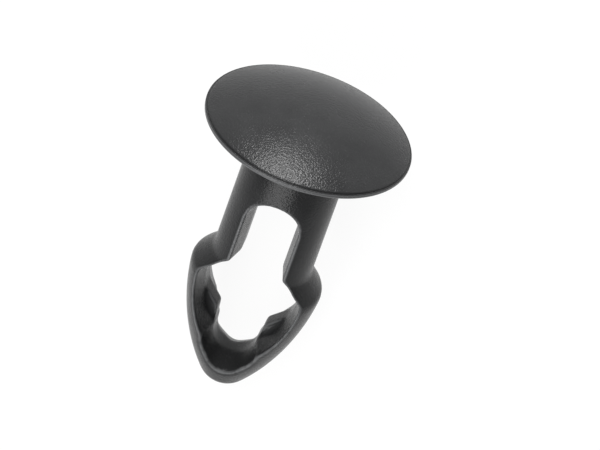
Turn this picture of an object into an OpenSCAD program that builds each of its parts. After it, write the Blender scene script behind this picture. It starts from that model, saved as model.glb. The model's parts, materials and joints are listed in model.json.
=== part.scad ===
// Push-in panel rivet, moulded in one piece: domed head, split shank and snap-in barb.
// It is modelled upright about its own axis, then laid down the way it comes to rest.

/* [Head] */
// Diameter of the head
head_d = 20; // [17:0.1:26]
// Height of the round bead at the head's edge
rim_h = 0.5; // [0.4:0.05:0.8]
// Rise of the dome above the bead
crown_h = 2.2; // [1.4:0.1:3]
// How far the dome stops short of the bead's outer edge
rim_step = 0.1; // [0.05:0.01:0.2]
// Width of the flat ring that seats on the panel
seat_w = 2.2; // [1.2:0.1:2.4]
// Depth of the hollow under the head, inside the seating ring
dish_h = 0.4; // [0.2:0.05:0.6]
// Fillet where the shank meets the head
neck_fillet = 0.6; // [0.3:0.05:1]

/* [Shank] */
// Diameter of the shank
shank_d = 9.6; // [8.6:0.1:10.4]
// Length from the seat to the barb's shoulder
grip = 14.65; // [13.5:0.05:20]
// Length of the solid neck above the window
neck_len = 6.7; // [4:0.1:8]

/* [Barb] */
// Widest diameter of the barb
barb_d = 12.8; // [12:0.1:13.6]
// Slope of the shoulder, from the axis
shoulder_angle = 43; // [35:1:55]
// Round at the shoulder's edge
shoulder_r = 0.75; // [0.3:0.05:0.9]
// Radius of the nose's outline
nose_arc_r = 23; // [21:0.5:28]
// Slope of the nose where it leaves the shoulder's edge
nose_angle = 5; // [2:0.5:6]
// Radius of the blunt tip
tip_r = 2.8; // [2.2:0.1:3.2]

/* [Window] */
// Width of the slot between the legs, at the middle plane
slot_w = 4.15; // [3.6:0.05:4.8]
// Thickness of the plain land at the middle plane, and of the corner webs
land_t = 2; // [1.4:0.1:2.6]
// Draft of the window's walls, out from the land to both faces
draft = 11; // [6:0.5:14]
// Thickness of the barb's wall beside the pocket, at the middle plane
leg_wall = 1.85; // [1.5:0.05:2.2]
// Radius of the pocket's side walls, at the middle plane
pocket_arc_r = 8.6; // [8:0.1:10]
// Thickness under the shoulder, at the middle plane
shoulder_wall = 1.5; // [1.1:0.05:1.8]
// Solid nose left below the window
nose_solid = 3.95; // [3.4:0.05:4.6]
// Slope of the floor at the window's end, out from the land to the front face
floor_slope = 25; // [20:1:30]
// Radius of that floor
floor_r = 1.7; // [1.4:0.05:1.8]
// Draft of the round wall at the window's end, out from the land to the back face
back_draft = 25; // [22:0.5:26]
// Slope of the floor on the back face
back_slope = 31; // [30:0.5:32]
// Radius of that floor
back_r = 1.2; // [1.1:0.05:1.4]
// Thickness of the land where it meets both floors
sill_t = 1.5; // [1:0.1:1.8]
// Distance between the two corner webs at their upper corners
web_gap = 4.7; // [4.5:0.05:5.4]
// Height of the corner webs' inner faces above the window's end
web_h = 4.1; // [3.6:0.1:4.8]
// Slope of the corner webs' top faces, from the axis
web_angle = 45; // [40:1:50]

/* [Hidden] */
$fn = 96;
plastic = [0.11, 0.115, 0.12];
head_r = head_d / 2;
shank_r = shank_d / 2;
barb_r = barb_d / 2;
slot_r = slot_w / 2;
bead_r = rim_h / 2;
// Overlap where two curves of the outline run into each other
joint = 0.005;

// The dome is a cap of one sphere
dome_edge_r = head_r - rim_step;
dome_r = (dome_edge_r * dome_edge_r + crown_h * crown_h) / (2 * crown_h);
dome_z = rim_h + crown_h - dome_r;
seat_r = head_r - bead_r - seat_w;

// Centre of the shoulder's round, which lies inside the cone by its radius
round_x = barb_r - shoulder_r;
round_z = -grip - (shoulder_r + (round_x - shank_r) * cos(shoulder_angle)) / sin(shoulder_angle);
round_c = [round_x, round_z];
cone_end = round_c + (shoulder_r - joint) * [cos(shoulder_angle), sin(shoulder_angle)];
nose_start = round_c + 2 * shoulder_r * [cos(nose_angle), -sin(nose_angle)];

// The nose's arc is tangent to that round and to the tip's sphere
nose_x = round_x - (nose_arc_r - shoulder_r) * cos(nose_angle);
nose_z = round_z + (nose_arc_r - shoulder_r) * sin(nose_angle);
tip_z = nose_z - sqrt(pow(nose_arc_r - tip_r, 2) - nose_x * nose_x);
nose_end = [-nose_x, tip_z - nose_z] * tip_r / (nose_arc_r - tip_r) + [0, tip_z];

// Levels of the window, its pocket and its corner webs
arch_z = -neck_len - slot_r;
window_end_z = tip_z - tip_r + nose_solid;
end_z = window_end_z + slot_r;
web_z = window_end_z + web_h;
pocket_x = pocket_arc_r - barb_r + leg_wall;
web_foot = slot_r + (web_gap / 2 - slot_r) / 3;
reach = barb_r + 1;
run_out = reach - land_t / 2;
flare = run_out * tan(draft);
back_flare = run_out * tan(back_draft);

// Lying down, the head's bead and the rim of the window's end touch the floor
floor_dir = [cos(back_slope), -sin(back_slope)];
floor_from = [sill_t / 2 - nose_x, window_end_z - nose_z];
floor_along = floor_from * floor_dir;
floor_run = sqrt(floor_along * floor_along - floor_from * floor_from + nose_arc_r * nose_arc_r) - floor_along;
touch = [sill_t / 2, window_end_z] + floor_run * floor_dir;
bead = [head_r - bead_r, bead_r];
touch_span = norm(bead - touch);
lie_angle = atan2(bead[0] - touch[0], bead[1] - touch[1]) + asin(bead_r / touch_span);
lie_height = bead[0] * cos(lie_angle) - bead[1] * sin(lie_angle) + bead_r;
lie_middle = (dome_z * cos(lie_angle) + dome_r + tip_z * cos(lie_angle) - tip_r) / 2;

// Half outline of the head, its bead and the hollow under it
module head_outline() {
    difference() {
        union() {
            intersection() {
                translate([0, dome_z]) circle(dome_r);
                translate([0, bead_r]) square([dome_edge_r, rim_h + crown_h]);
            }
            square([head_r - bead_r, rim_h]);
            translate([head_r - bead_r, bead_r]) circle(bead_r);
        }
        polygon([[0, -1], [0, dish_h], [seat_r - dish_h, dish_h], [seat_r, 0], [seat_r, -1]]);
    }
}

// Half outline of the shank, with the fillet under the head
module shank_outline() {
    translate([0, -grip]) square([shank_r, grip + dish_h]);
    difference() {
        translate([shank_r, dish_h - neck_fillet]) square(neck_fillet);
        translate([shank_r + neck_fillet, dish_h - neck_fillet]) circle(neck_fillet);
    }
}

// Half outline of the barb: conical shoulder, rounded edge, arched nose and blunt tip
module barb_outline() {
    intersection() {
        translate([nose_x, nose_z]) circle(nose_arc_r - joint, $fn = 360);
        polygon([[0, -grip], [shank_r, -grip], cone_end, round_c, nose_start,
                 [nose_start[0], nose_end[1]], [0, nose_end[1]]]);
    }
    translate(round_c) circle(shoulder_r);
    intersection() {
        translate([0, tip_z]) circle(tip_r);
        translate([0, tip_z - tip_r]) square([tip_r, 2 * tip_r]);
    }
}

// Cutter for a round wall of radius r: a plain land, then draft out to both faces
module drafted_disc(r, back_flare = flare) {
    rotate([90, 0, 0]) rotate_extrude()
        polygon([[0, -reach], [r + back_flare, -reach], [r, -land_t / 2],
                 [r, land_t / 2], [r + flare, reach], [0, reach]]);
}

// Cutter for all that lies to the left of a flat wall at x = edge, with the same land and draft
module drafted_side(edge) {
    translate([0, 0, -barb_d]) linear_extrude(2 * barb_d)
        polygon([[-barb_d, -reach], [edge + flare, -reach], [edge, -land_t / 2],
                 [edge, land_t / 2], [edge + flare, reach], [-barb_d, reach]]);
}

// Slot between the legs, from the arch under the neck to the round end in the nose
module slot() {
    translate([0, 0, end_z]) linear_extrude(arch_z - end_z)
        polygon([[-slot_r - flare, -reach], [slot_r + flare, -reach], [slot_r, -land_t / 2],
                 [slot_r, land_t / 2], [slot_r + flare, reach], [-slot_r - flare, reach],
                 [-slot_r, land_t / 2], [-slot_r, -land_t / 2]]);
    translate([0, 0, arch_z]) drafted_disc(slot_r + joint);
    translate([0, 0, end_z]) drafted_disc(slot_r + joint, back_flare);
}

// Pocket in the barb: two arched side walls, closed above by walls parallel to the shoulder
module pocket() {
    roof = [shank_r - shoulder_wall * cos(shoulder_angle), -grip - shoulder_wall * sin(shoulder_angle)];
    intersection_for (side = [0, 1]) mirror([side, 0, 0]) intersection() {
        translate([-pocket_x, 0, round_z]) drafted_disc(pocket_arc_r);
        translate([roof[0], 0, roof[1]]) rotate([0, shoulder_angle - 90, 0]) drafted_side(0);
    }
}

// Cutter for the sloping floor at the window's end, on the front face
module floor_ramp(slope, r) {
    translate([0, -sill_t / 2, window_end_z]) rotate([slope, 0, 0])
        translate([0, 0, r]) rotate([90, 0, 0]) cylinder(h = reach, r = r);
}

// Corner webs that stay in the pocket beside the slot
module corner_webs() {
    rise = barb_r / tan(web_angle);
    for (side = [0, 1]) mirror([side, 0, 0]) rotate([90, 0, 0])
        translate([0, 0, -land_t / 2]) linear_extrude(land_t)
            polygon([[web_gap / 2, web_z], [web_foot, end_z], [barb_r, end_z],
                     [barb_r + web_gap / 2, web_z + rise]]);
}

module window() {
    difference() {
        union() {
            slot();
            pocket();
            floor_ramp(floor_slope, floor_r);
            mirror([0, 1, 0]) floor_ramp(back_slope, back_r);
        }
        corner_webs();
    }
}

module push_rivet() {
    color(plastic)
        translate([0, -lie_middle, lie_height]) rotate([lie_angle - 90, 0, 0]) difference() {
            rotate_extrude() {
                head_outline();
                shank_outline();
                barb_outline();
            }
            window();
        }
}

push_rivet();
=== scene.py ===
import json
from math import asin, cos, degrees, pi, radians, sin

import bpy
import numpy as np
from mathutils import Matrix, Vector


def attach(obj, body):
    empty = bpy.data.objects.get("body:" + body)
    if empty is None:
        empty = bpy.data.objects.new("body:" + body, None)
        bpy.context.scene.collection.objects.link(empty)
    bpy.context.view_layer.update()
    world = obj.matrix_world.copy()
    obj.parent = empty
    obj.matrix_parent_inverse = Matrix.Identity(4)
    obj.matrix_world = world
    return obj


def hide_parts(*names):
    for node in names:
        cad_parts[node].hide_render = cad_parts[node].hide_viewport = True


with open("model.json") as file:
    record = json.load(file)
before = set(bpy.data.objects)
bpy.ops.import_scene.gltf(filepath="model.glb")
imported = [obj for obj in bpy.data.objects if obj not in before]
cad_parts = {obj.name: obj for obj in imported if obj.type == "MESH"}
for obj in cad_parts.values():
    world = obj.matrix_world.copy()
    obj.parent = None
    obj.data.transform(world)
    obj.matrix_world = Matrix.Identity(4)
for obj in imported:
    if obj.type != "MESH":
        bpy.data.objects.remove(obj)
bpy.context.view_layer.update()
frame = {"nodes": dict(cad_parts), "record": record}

bl_info = {
    "name": "Push-in Panel Rivet",
    "version": (1, 0, 0),
    "blender": (4, 5, 0),
    "location": "View3D > Sidebar > Rivet",
    "description": "Moulded push-in panel rivet with a domed head, two spring legs and a barb",
    "category": "Add Mesh",
}

# The rivet is modelled upright in millimetres, with its seat at 0 and its tip below, and then laid down
MM = 1000

# The shank's mount gives the lying rivet's axis, from the seat towards the tip
HOLE = next(m for m in frame["record"]["mounts"] if m["name"] == "panel_hole")
TO_TIP = Vector(HOLE["axis"]).normalized()
UP = -TO_TIP
ACROSS = Vector((1, 0, 0))
SEAT = Vector(HOLE["pos_m"]) - TO_TIP * (HOLE["dims"]["length_mm"] / 2 / MM)

# Levels where the head ends and the legs start, with a bridged strip between them
HEAD_END = -2.9
LEGS_START = -3.0
# Steps of the head's spin and of the arcs in its profile
SPIN_STEPS = 192
DOME_STEPS = 48
CORNER_STEPS = 8
BEAD_STEPS = 12
FILLET_STEPS = 10
# How far the seating ring's corners are eased: along the flats, then in and up on the slope
EASE_FLAT = 0.05
EASE_IN = 0.04
EASE_UP = 0.03
# Distances within which doubled points are merged
SPIN_MERGE = 0.0005
CAD_MERGE = 0.001
# The window's two faces lie on these sides of the middle plane
FRONT = -1
BACK = 1
# Where the rims of the window's end are softened: out from the middle plane, and down from the seat
RIMS_OUT = (1.3, 2.0)
RIMS_BEGIN = (22.0, 24.0)
RIMS_STOP = (28.4, 27.6)
# The highlight painted along the edges stays below this share of the bead's height, and its mask is blurred
# this many times
PAINTED_HIGHLIGHT_BELOW = 0.9
PAINTED_HIGHLIGHT_BLUR = 2
# Square of the shortest edge that counts, so that no bend is divided by 0
SHORTEST_SQUARE = 1e-6
# Outward bends, per millimetre, between which the painted edge highlight comes in
PAINTED_HIGHLIGHT_BEND = (0.25, 0.75)
# The part of a noise texture's range that holds nearly all of its pattern
NOISE_RANGE = (0.3, 0.7)
# Softboxes round the rivet: name, place, and width and height, in metres
SOFTBOXES = (
    ("key", (-0.025, 0.33, 0.05), (0.08, 0.08)),
    ("top", (-0.1, 0.25, 0.4), (0.3, 0.3)),
    ("fill", (-0.07, -0.32, 0.29), (0.42, 0.24)),
)
SENSOR_WIDTH = 36


class RivetSettings(bpy.types.PropertyGroup):
    head_d: bpy.props.FloatProperty(
        name="Head diameter", description="Diameter of the head", default=0.02, unit="LENGTH")
    rim_h: bpy.props.FloatProperty(
        name="Bead height", description="Height of the bead at the head's edge", default=0.0005,
        unit="LENGTH", precision=5)
    rim_corner: bpy.props.FloatProperty(
        name="Bead corner", description="Round of the bead's upper corner", default=0.0001,
        unit="LENGTH", precision=5)
    groove: bpy.props.FloatProperty(
        name="Groove", description="Size of the fine groove between the dome and the bead", default=0.00008,
        unit="LENGTH", precision=5)
    crown_h: bpy.props.FloatProperty(
        name="Crown height", description="Rise of the dome above the bead", default=0.0022, unit="LENGTH")
    rim_step: bpy.props.FloatProperty(
        name="Bead step", description="How far the dome stops short of the bead's outer edge",
        default=0.0001, unit="LENGTH", precision=5)
    seat_w: bpy.props.FloatProperty(
        name="Seat width", description="Width of the flat ring under the head", default=0.0022,
        unit="LENGTH")
    dish_h: bpy.props.FloatProperty(
        name="Hollow depth", description="Depth of the hollow under the head", default=0.0004,
        unit="LENGTH", precision=5)
    neck_fillet: bpy.props.FloatProperty(
        name="Neck fillet", description="Fillet between head and shank", default=0.0006,
        unit="LENGTH", precision=5)
    shank_d: bpy.props.FloatProperty(
        name="Shank diameter", description="Diameter of the shank", default=0.0096, unit="LENGTH")
    mesh_size: bpy.props.FloatProperty(
        name="Mesh size", description="Size of the faces on the legs and the barb", default=0.000125,
        unit="LENGTH", precision=6)
    softness: bpy.props.IntProperty(
        name="Edge softness", description="Smoothing passes that round the moulded edges", default=30)
    end_softness: bpy.props.IntProperty(
        name="End softness", description="More passes for the front rims of the window's end", default=100)
    back_softness: bpy.props.IntProperty(
        name="Back softness", description="More passes for the back rims of the window's end", default=160)


class PlasticSettings(bpy.types.PropertyGroup):
    colour: bpy.props.FloatVectorProperty(
        name="Colour", description="Colour of the plastic under its gloss", subtype="COLOR", size=3,
        default=(0.0182, 0.0185, 0.019))
    mottle: bpy.props.FloatProperty(
        name="Mottle", description="How far the colour strays to both sides", subtype="FACTOR",
        default=0.12)
    patch: bpy.props.FloatProperty(
        name="Patch size", description="Size of the mottled patches", default=0.003, unit="LENGTH")
    # Colour and strength of the highlight painted along the raised edges
    painted_highlight_colour: bpy.props.FloatVectorProperty(
        name="Rubbed colour", description="Colour of the plastic where its edges are rubbed",
        subtype="COLOR", size=3, default=(0.12, 0.122, 0.125))
    painted_highlight_strength: bpy.props.FloatProperty(
        name="Wear", description="Strength of the rubbed colour on the edges", subtype="FACTOR",
        default=0.6)
    roughness: bpy.props.FloatProperty(
        name="Roughness", description="Roughness of the moulded skin", subtype="FACTOR", default=0.26)
    dulling: bpy.props.FloatProperty(
        name="Dulling", description="How far the roughness strays to both sides", subtype="FACTOR",
        default=0.1)
    gloss: bpy.props.FloatProperty(
        name="Gloss", description="Strength of the plastic's reflections", subtype="FACTOR", default=1.0)
    ior: bpy.props.FloatProperty(
        name="IOR", description="Index of refraction, low because the grain dulls slanting reflections",
        default=1.15)
    skin: bpy.props.FloatProperty(
        name="Skin size", description="Size of the fine grain in the skin", default=0.00018,
        unit="LENGTH", precision=5)
    skin_depth: bpy.props.FloatProperty(
        name="Skin depth", description="Depth of the fine grain", default=0.000043, unit="LENGTH",
        precision=6)


class StageSettings(bpy.types.PropertyGroup):
    floor_size: bpy.props.FloatProperty(
        name="Floor size", description="Length of the floor's sides", default=40, unit="LENGTH")
    floor_colour: bpy.props.FloatVectorProperty(
        name="Floor colour", description="Colour of the floor's paper", subtype="COLOR", size=3,
        default=(0.92, 0.92, 0.92))
    whiteness: bpy.props.FloatProperty(
        name="Whiteness", description="Share of plain white in the floor as the camera sees it",
        subtype="FACTOR", default=0.93)
    ambient: bpy.props.FloatProperty(
        name="Ambient", description="Strength of the even light from all round", default=0.3)
    key_power: bpy.props.FloatProperty(
        name="Key light", description="Power of the softbox beyond the head", default=1.25, unit="POWER")
    top_power: bpy.props.FloatProperty(
        name="Top light", description="Power of the softbox above the head", default=1.9, unit="POWER")
    fill_power: bpy.props.FloatProperty(
        name="Fill light", description="Power of the softbox on the tip's side", default=2.15, unit="POWER")
    lens: bpy.props.FloatProperty(
        name="Lens", description="Focal length of the camera", default=500, unit="CAMERA")
    view_width: bpy.props.FloatProperty(
        name="View width", description="Width of the picture at the rivet", default=0.05605, unit="LENGTH",
        precision=5)
    tilt: bpy.props.FloatProperty(
        name="Tilt", description="How far the camera stands towards the head", default=radians(33.3),
        subtype="ANGLE")
    roll: bpy.props.FloatProperty(
        name="Roll", description="How far the picture is turned", default=radians(20), subtype="ANGLE")
    swing: bpy.props.FloatProperty(
        name="Swing", description="How far the camera goes round the rivet's axis", default=radians(2.4),
        subtype="ANGLE")
    aim_across: bpy.props.FloatProperty(
        name="Aim across", description="Middle of the picture, sideways from the rivet's axis",
        default=0.002256, unit="LENGTH", precision=6)
    aim_down: bpy.props.FloatProperty(
        name="Aim down", description="Middle of the picture, from the seat towards the tip",
        default=0.009833, unit="LENGTH", precision=6)


def deselect():
    if bpy.context.object and bpy.context.object.mode != "OBJECT":
        leave_edit()
    bpy.ops.object.select_all(action="DESELECT")


def only(obj):
    """Makes obj the one selected and active object."""
    deselect()
    obj.select_set(True)
    bpy.context.view_layer.objects.active = obj


def edit(obj):
    """Opens obj in edit mode with all of it selected."""
    only(obj)
    bpy.ops.object.mode_set(mode="EDIT")
    bpy.ops.mesh.select_all(action="SELECT")


def leave_edit():
    bpy.ops.object.mode_set(mode="OBJECT")


def apply_modifier(obj, kind, **settings):
    only(obj)
    modifier = obj.modifiers.new(kind.title(), kind)
    for name, value in settings.items():
        setattr(modifier, name, value)
    bpy.ops.object.modifier_apply(modifier=modifier.name)


def smooth(obj, passes, **settings):
    apply_modifier(obj, "SMOOTH", factor=0.5, iterations=passes, **settings)


def lying():
    """Turns the upright rivet in millimetres into the lying one in metres."""
    turn = Matrix((ACROSS, UP.cross(ACROSS), UP)).transposed().to_4x4()
    return Matrix.Translation(SEAT) @ turn @ Matrix.Scale(1 / MM, 4)


def arc(centre, radius, start, end, steps):
    """Points of an arc in the profile plane, with the angles in degrees."""
    angles = [radians(start + (end - start) * i / steps) for i in range(steps + 1)]
    return [(centre[0] + radius * cos(a), centre[1] + radius * sin(a)) for a in angles]


def extrude_path(name, points):
    """Draws a profile by extruding one vertex from point to point."""
    deselect()
    bpy.ops.mesh.primitive_plane_add(size=1)
    obj = bpy.context.object
    obj.name = name
    obj.data.name = name
    edit(obj)
    bpy.ops.mesh.merge(type="CENTER")
    bpy.ops.transform.translate(value=(points[0][0], 0, points[0][1]))
    for last, point in zip(points, points[1:]):
        step = (point[0] - last[0], 0, point[1] - last[1])
        bpy.ops.mesh.extrude_vertices_move(TRANSFORM_OT_translate={"value": step})
    leave_edit()
    return obj


def fade(value, start, end):
    """Goes smoothly from 0 at start to 1 at end."""
    t = min(max((value - start) / (end - start), 0), 1)
    return t * t * (3 - 2 * t)


def read(items, field, width, kind=float):
    """One field of all of a mesh's items, with a row for each item."""
    values = np.empty(len(items) * width, dtype=kind)
    items.foreach_get(field, values)
    return values.reshape(-1, width)


def mark_edges(mesh, below):
    """Keeps in an attribute how sharply the surface bends outwards, per millimetre, up to 1, as the mask of
    the highlight painted along the raised edges.
    """
    places = read(mesh.vertices, "co", 3)
    normals = read(mesh.vertex_normals, "vector", 3)
    ends = read(mesh.edges, "vertices", 2, int)
    count = len(places)
    a, b = ends.T
    step = places[a] - places[b]
    squares = np.maximum((step ** 2).sum(axis=1), SHORTEST_SQUARE)
    near = np.maximum(np.bincount(ends.ravel(), minlength=count), 1)
    bend = np.bincount(a, (normals[a] * step).sum(axis=1) / squares, count)
    bend -= np.bincount(b, (normals[b] * step).sum(axis=1) / squares, count)
    bend = np.clip(bend / near, 0, 1)
    bend[places[:, 2] > below] = 0
    for _ in range(PAINTED_HIGHLIGHT_BLUR):
        around = (np.bincount(a, bend[b], count) + np.bincount(b, bend[a], count)) / near
        bend = (bend + around) / 2
    mesh.attributes.new("edges", "FLOAT", "POINT").data.foreach_set("value", bend.astype(np.float32))


def feed(tree, socket, value):
    """Gives a socket an output to read, or a fixed value."""
    if isinstance(value, bpy.types.NodeSocket):
        tree.links.new(value, socket)
    else:
        socket.default_value = value


def calculate(tree, operation, first, second):
    node = tree.nodes.new("ShaderNodeMath")
    node.operation = operation
    feed(tree, node.inputs[0], first)
    feed(tree, node.inputs[1], second)
    return node.outputs[0]


def spread(tree, source, before, after):
    """Maps an output from one range to another."""
    node = tree.nodes.new("ShaderNodeMapRange")
    feed(tree, node.inputs["Value"], source)
    for name, value in zip(("From Min", "From Max", "To Min", "To Max"), (*before, *after)):
        node.inputs[name].default_value = value
    return node.outputs["Result"]


def blend_colour(tree, factor, first, second):
    node = tree.nodes.new("ShaderNodeMix")
    node.data_type = "RGBA"
    feed(tree, node.inputs[0], factor)
    feed(tree, node.inputs[6], first)
    feed(tree, node.inputs[7], second)
    return node.outputs[2]


def noise(tree, place, size, detail):
    node = tree.nodes.new("ShaderNodeTexNoise")
    node.inputs["Scale"].default_value = 1 / size
    node.inputs["Detail"].default_value = detail
    feed(tree, node.inputs["Vector"], place)
    return node.outputs["Fac"]


def plastic(p):
    """Dark satin plastic with the fine grain of an etched mould and a highlight painted along its raised
    edges.
    """
    material = bpy.data.materials.new("plastic")
    material.use_nodes = True
    tree = material.node_tree
    shader = tree.nodes["Principled BSDF"]
    shader.inputs["Specular IOR Level"].default_value = p.gloss
    shader.inputs["IOR"].default_value = p.ior
    place = tree.nodes.new("ShaderNodeTexCoord").outputs["Object"]
    # Colour: a little mottled, and with a highlight painted along the raised edges
    patches = spread(tree, noise(tree, place, p.patch, detail=3), NOISE_RANGE, (0, 1))
    dark = [c * (1 - p.mottle) for c in p.colour]
    pale = [c * (1 + p.mottle) for c in p.colour]
    tone = blend_colour(tree, patches, (*dark, 1), (*pale, 1))
    edges = tree.nodes.new("ShaderNodeAttribute")
    edges.attribute_name = "edges"
    painted_highlight = spread(tree, edges.outputs["Fac"], PAINTED_HIGHLIGHT_BEND, (0, p.painted_highlight_strength))
    feed(tree, shader.inputs["Base Color"], blend_colour(tree, painted_highlight, tone, (*p.painted_highlight_colour, 1)))
    # Gloss: the skin is a little duller in some patches than in others
    dullest = p.roughness * (1 + p.dulling)
    glossiest = p.roughness * (1 - p.dulling)
    feed(tree, shader.inputs["Roughness"], spread(tree, patches, (0, 1), (glossiest, dullest)))
    # Grain of the etched mould
    bump = tree.nodes.new("ShaderNodeBump")
    bump.inputs["Strength"].default_value = 1
    bump.inputs["Distance"].default_value = p.skin_depth
    feed(tree, bump.inputs["Height"], noise(tree, place, p.skin, detail=2))
    feed(tree, shader.inputs["Normal"], bump.outputs["Normal"])
    return material


def paper(t):
    """Pale paper that shows as the white background and keeps the rivet's shadow."""
    material = bpy.data.materials.new("floor")
    material.use_nodes = True
    tree = material.node_tree
    tree.nodes.clear()
    path = tree.nodes.new("ShaderNodeLightPath")
    seen = path.outputs["Is Camera Ray"]
    for ray in ("Is Glossy Ray", "Is Transmission Ray"):
        seen = calculate(tree, "MAXIMUM", seen, path.outputs[ray])
    matt = tree.nodes.new("ShaderNodeBsdfDiffuse")
    matt.inputs["Color"].default_value = (*t.floor_colour, 1)
    white = tree.nodes.new("ShaderNodeEmission")
    white.inputs["Color"].default_value = (1, 1, 1, 1)
    mix = tree.nodes.new("ShaderNodeMixShader")
    feed(tree, mix.inputs[0], calculate(tree, "MULTIPLY", seen, t.whiteness))
    feed(tree, mix.inputs[1], matt.outputs[0])
    feed(tree, mix.inputs[2], white.outputs[0])
    out = tree.nodes.new("ShaderNodeOutputMaterial")
    feed(tree, out.inputs["Surface"], mix.outputs[0])
    return material


class RIVET_OT_body(bpy.types.Operator):
    """Model the rivet: spun head, then legs and barb with softened moulded edges"""
    bl_idname = "rivet.body"
    bl_label = "Rivet Body"

    def profile(self, s):
        """Half outline of the head, from the top of its dome to the upper end of the shank."""
        head_r = s.head_d * MM / 2
        shank_r = s.shank_d * MM / 2
        rim_h = s.rim_h * MM
        bead_r = rim_h / 2
        corner = s.rim_corner * MM
        groove = s.groove * MM
        crown_h = s.crown_h * MM
        dish_h = s.dish_h * MM
        fillet = s.neck_fillet * MM
        # The dome is a cap of one sphere, and stops at the groove
        edge_r = head_r - s.rim_step * MM
        dome_r = (edge_r ** 2 + crown_h ** 2) / (2 * crown_h)
        dome_z = rim_h + crown_h - dome_r
        groove_r = edge_r - groove
        edge_angle = 90 - degrees(asin(groove_r / dome_r))
        points = arc((0, dome_z), dome_r, 90, edge_angle, DOME_STEPS)
        points += [(groove_r - groove, rim_h - groove)]
        # Bead, with a sharper corner above than below
        points += arc((head_r - corner, rim_h - corner), corner, 90, 0, CORNER_STEPS)
        points += arc((head_r - bead_r, bead_r), bead_r, 0, -90, BEAD_STEPS)
        # Seating ring, the slope into the hollow, and the fillet at the neck
        seat_r = head_r - bead_r - s.seat_w * MM
        hollow_r = seat_r - dish_h
        points += [(seat_r + EASE_FLAT, 0), (seat_r - EASE_IN, EASE_UP)]
        points += [(hollow_r + EASE_IN, dish_h - EASE_UP), (hollow_r - EASE_FLAT, dish_h)]
        points += arc((shank_r + fillet, dish_h - fillet), fillet, 90, 180, FILLET_STEPS)
        return points + [(shank_r, HEAD_END)]

    def head(self, s):
        obj = extrude_path("head", self.profile(s))
        edit(obj)
        bpy.ops.mesh.spin(steps=SPIN_STEPS, angle=2 * pi, center=(0, 0, 0), axis=(0, 0, 1))
        bpy.ops.mesh.select_all(action="SELECT")
        bpy.ops.mesh.remove_doubles(threshold=SPIN_MERGE)
        bpy.ops.mesh.normals_make_consistent(inside=False)
        leave_edit()
        return obj

    def legs(self, s):
        """Copies the CAD node, evens out its mesh, rounds its edges and cuts the head off."""
        node = frame["nodes"]["push_rivet"]
        obj = node.copy()
        obj.data = node.data.copy()
        obj.parent = None
        obj.matrix_world = Matrix.Identity(4)
        bpy.context.collection.objects.link(obj)
        obj.data.transform(lying().inverted())
        edit(obj)
        bpy.ops.mesh.remove_doubles(threshold=CAD_MERGE)
        leave_edit()
        apply_modifier(obj, "REMESH", mode="VOXEL", voxel_size=s.mesh_size * MM, adaptivity=0)
        smooth(obj, s.softness)
        self.soften_end(obj, FRONT, s.end_softness)
        self.soften_end(obj, BACK, s.back_softness)
        edit(obj)
        bpy.ops.mesh.bisect(plane_co=(0, 0, LEGS_START), plane_no=(0, 0, 1), clear_outer=True)
        leave_edit()
        return obj

    def soften_end(self, obj, side, passes):
        """Gives the rims of the window's end, on one side, a round that fades out along its walls."""
        rims = obj.vertex_groups.new(name="end_rims")
        for v in obj.data.vertices:
            depth = -v.co.z
            weight = fade(side * v.co.y, *RIMS_OUT) * fade(depth, *RIMS_BEGIN) * fade(depth, *RIMS_STOP)
            if weight > 0:
                rims.add([v.index], weight, "REPLACE")
        smooth(obj, passes, vertex_group=rims.name)
        obj.vertex_groups.clear()

    def join(self, body, head):
        """Joins the head to the legs and bridges the gap between them."""
        only(body)
        head.select_set(True)
        bpy.ops.object.join()
        edit(body)
        bpy.ops.mesh.select_all(action="DESELECT")
        bpy.ops.mesh.select_mode(type="EDGE")
        bpy.ops.mesh.select_non_manifold(
            extend=False, use_wire=False, use_boundary=True, use_multi_face=False,
            use_non_contiguous=False, use_verts=False)
        bpy.ops.mesh.bridge_edge_loops()
        bpy.ops.mesh.select_all(action="SELECT")
        bpy.ops.mesh.normals_make_consistent(inside=False)
        leave_edit()

    def execute(self, context):
        s = context.scene.rivet
        head = self.head(s)
        body = self.legs(s)
        self.join(body, head)
        body.name = "rivet"
        body.data.name = "rivet"
        # Marks the raised edges for the painted highlight
        mark_edges(body.data, s.rim_h * MM * PAINTED_HIGHLIGHT_BELOW)
        body.data.transform(lying())
        only(body)
        bpy.ops.object.shade_smooth()
        body.data.materials.clear()
        body.data.materials.append(plastic(context.scene.rivet_plastic))
        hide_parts("push_rivet")
        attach(body, "root")
        return {"FINISHED"}


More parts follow.
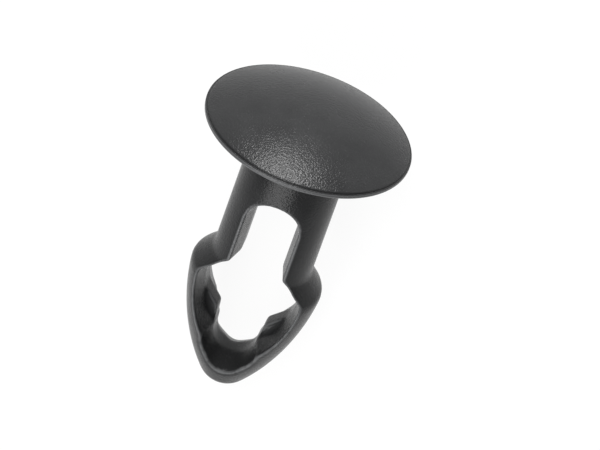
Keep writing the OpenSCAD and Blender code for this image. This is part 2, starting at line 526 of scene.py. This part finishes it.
class RIVET_OT_stage(bpy.types.Operator):
    """Set the floor, the soft light and the camera of the photo"""
    bl_idname = "rivet.stage"
    bl_label = "Rivet Stage"

    def floor(self, t):
        deselect()
        bpy.ops.mesh.primitive_plane_add(size=t.floor_size)
        floor = bpy.context.object
        floor.name = "floor"
        floor.data.materials.append(paper(t))

    def world(self, t):
        world = bpy.data.worlds.new("studio")
        bpy.context.scene.world = world
        world.use_nodes = True
        sky = world.node_tree.nodes["Background"]
        sky.inputs["Color"].default_value = (1, 1, 1, 1)
        sky.inputs["Strength"].default_value = t.ambient

    def softbox(self, name, place, size, power):
        deselect()
        bpy.ops.object.light_add(type="AREA", location=place)
        lamp = bpy.context.object
        lamp.name = name
        lamp.data.shape = "ELLIPSE"
        lamp.data.size, lamp.data.size_y = size
        lamp.data.energy = power
        lamp.rotation_euler = (SEAT - Vector(place)).to_track_quat("-Z", "Y").to_euler()

    def camera(self, t):
        # The photo looks down on the window from the head's side, and is turned a little
        across = ACROSS * cos(t.swing) + ACROSS.cross(TO_TIP) * sin(t.swing)
        front = across.cross(UP)
        towards = front * cos(t.tilt) + UP * sin(t.tilt)
        axis_up = UP * cos(t.tilt) - front * sin(t.tilt)
        right = across * cos(t.roll) + axis_up * sin(t.roll)
        high = axis_up * cos(t.roll) - across * sin(t.roll)
        turn = Matrix((right, high, towards)).transposed().to_4x4()
        middle = SEAT + across * t.aim_across + TO_TIP * t.aim_down
        distance = t.view_width * t.lens / SENSOR_WIDTH
        deselect()
        bpy.ops.object.camera_add()
        camera = bpy.context.object
        camera.data.lens = t.lens
        camera.data.sensor_width = SENSOR_WIDTH
        camera.data.clip_end = 10
        camera.matrix_world = Matrix.Translation(middle + towards * distance) @ turn
        bpy.context.scene.camera = camera

    def execute(self, context):
        t = context.scene.rivet_stage
        context.scene.view_settings.view_transform = "Standard"
        self.floor(t)
        self.world(t)
        for name, place, size in SOFTBOXES:
            self.softbox(name, place, size, getattr(t, name + "_power"))
        self.camera(t)
        return {"FINISHED"}


class RIVET_PT_panel(bpy.types.Panel):
    """Sizes, finish and stage of the rivet"""
    bl_idname = "RIVET_PT_panel"
    bl_label = "Push-in Rivet"
    bl_space_type = "VIEW_3D"
    bl_region_type = "UI"
    bl_category = "Rivet"

    def draw(self, context):
        for group, operator in (
                ("rivet", None), ("rivet_plastic", "rivet.body"), ("rivet_stage", "rivet.stage")):
            box = self.layout.box()
            settings = getattr(context.scene, group)
            for name in settings.bl_rna.properties.keys():
                if name not in ("rna_type", "name"):
                    box.prop(settings, name)
            if operator:
                box.operator(operator)


CLASSES = (RivetSettings, PlasticSettings, StageSettings, RIVET_OT_body, RIVET_OT_stage, RIVET_PT_panel)


def register():
    for cls in CLASSES:
        bpy.utils.register_class(cls)
    bpy.types.Scene.rivet = bpy.props.PointerProperty(type=RivetSettings)
    bpy.types.Scene.rivet_plastic = bpy.props.PointerProperty(type=PlasticSettings)
    bpy.types.Scene.rivet_stage = bpy.props.PointerProperty(type=StageSettings)


def unregister():
    del bpy.types.Scene.rivet_stage
    del bpy.types.Scene.rivet_plastic
    del bpy.types.Scene.rivet
    for cls in reversed(CLASSES):
        bpy.utils.unregister_class(cls)


def main():
    register()
    bpy.ops.rivet.body()
    bpy.ops.rivet.stage()


if __name__ == "__main__":
    main()
